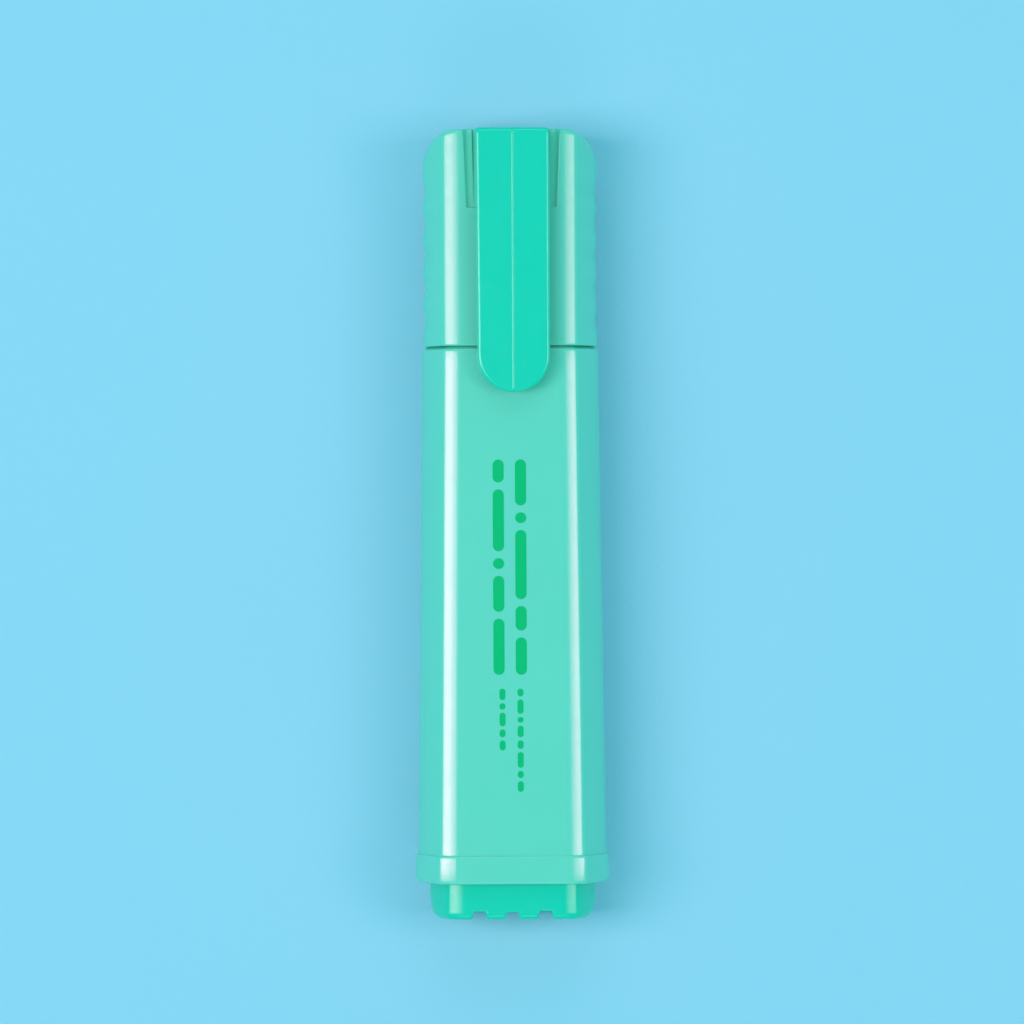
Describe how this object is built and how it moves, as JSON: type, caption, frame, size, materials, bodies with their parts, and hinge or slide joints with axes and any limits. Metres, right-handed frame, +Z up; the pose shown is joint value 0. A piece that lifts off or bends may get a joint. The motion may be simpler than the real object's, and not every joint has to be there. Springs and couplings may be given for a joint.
{
  "type": "highlighter pen",
  "caption": "Flat pastel highlighter with a pull-off cap, pocket clip, felt chisel nib, ink reservoir and a notched end plug.",
  "frame": {"origin": "below the middle of the pen's bounding box, on the surface that the collar's back lies on", "axes": "+Y along the pen from the end plug towards the cap, +Z up from the back face through the pocket clip, +X to the right when the pen is seen from the front with its cap up"},
  "size_m": [0.0272, 0.11, 0.0197],
  "materials": {
    "pastel_plastic": "glossy moulded",
    "turquoise_plastic": "fine satin",
    "seal_plastic": "satin",
    "nib_felt": "pressed felt wet with ink",
    "ink_fibre": "bonded fibre soaked with ink",
    "clear_film": "clear film"
  },
  "bodies": {
    "barrel": {"barrel": "pastel_plastic", "nib": "nib_felt", "ink_reservoir": "ink_fibre", "reservoir_wrap": "clear_film", "end_plug": "turquoise_plastic"},
    "cap": {"cap_shell": "pastel_plastic", "inner_cap": "seal_plastic"},
    "clip": {"clip": "turquoise_plastic"}
  },
  "joints": [
    {"name": "cap_pull", "type": "slide", "parent": "barrel", "child": "cap", "axis": [0, 1, 0], "range_m": [0, 0.04]},
    {"name": "clip_flex", "type": "hinge", "parent": "cap", "child": "clip", "pos_m": [0, 0.053, 0.0175], "axis": [-1, 0, 0], "range_deg": [0, 4], "stiffness_Nm_per_rad": 1}
  ]
}
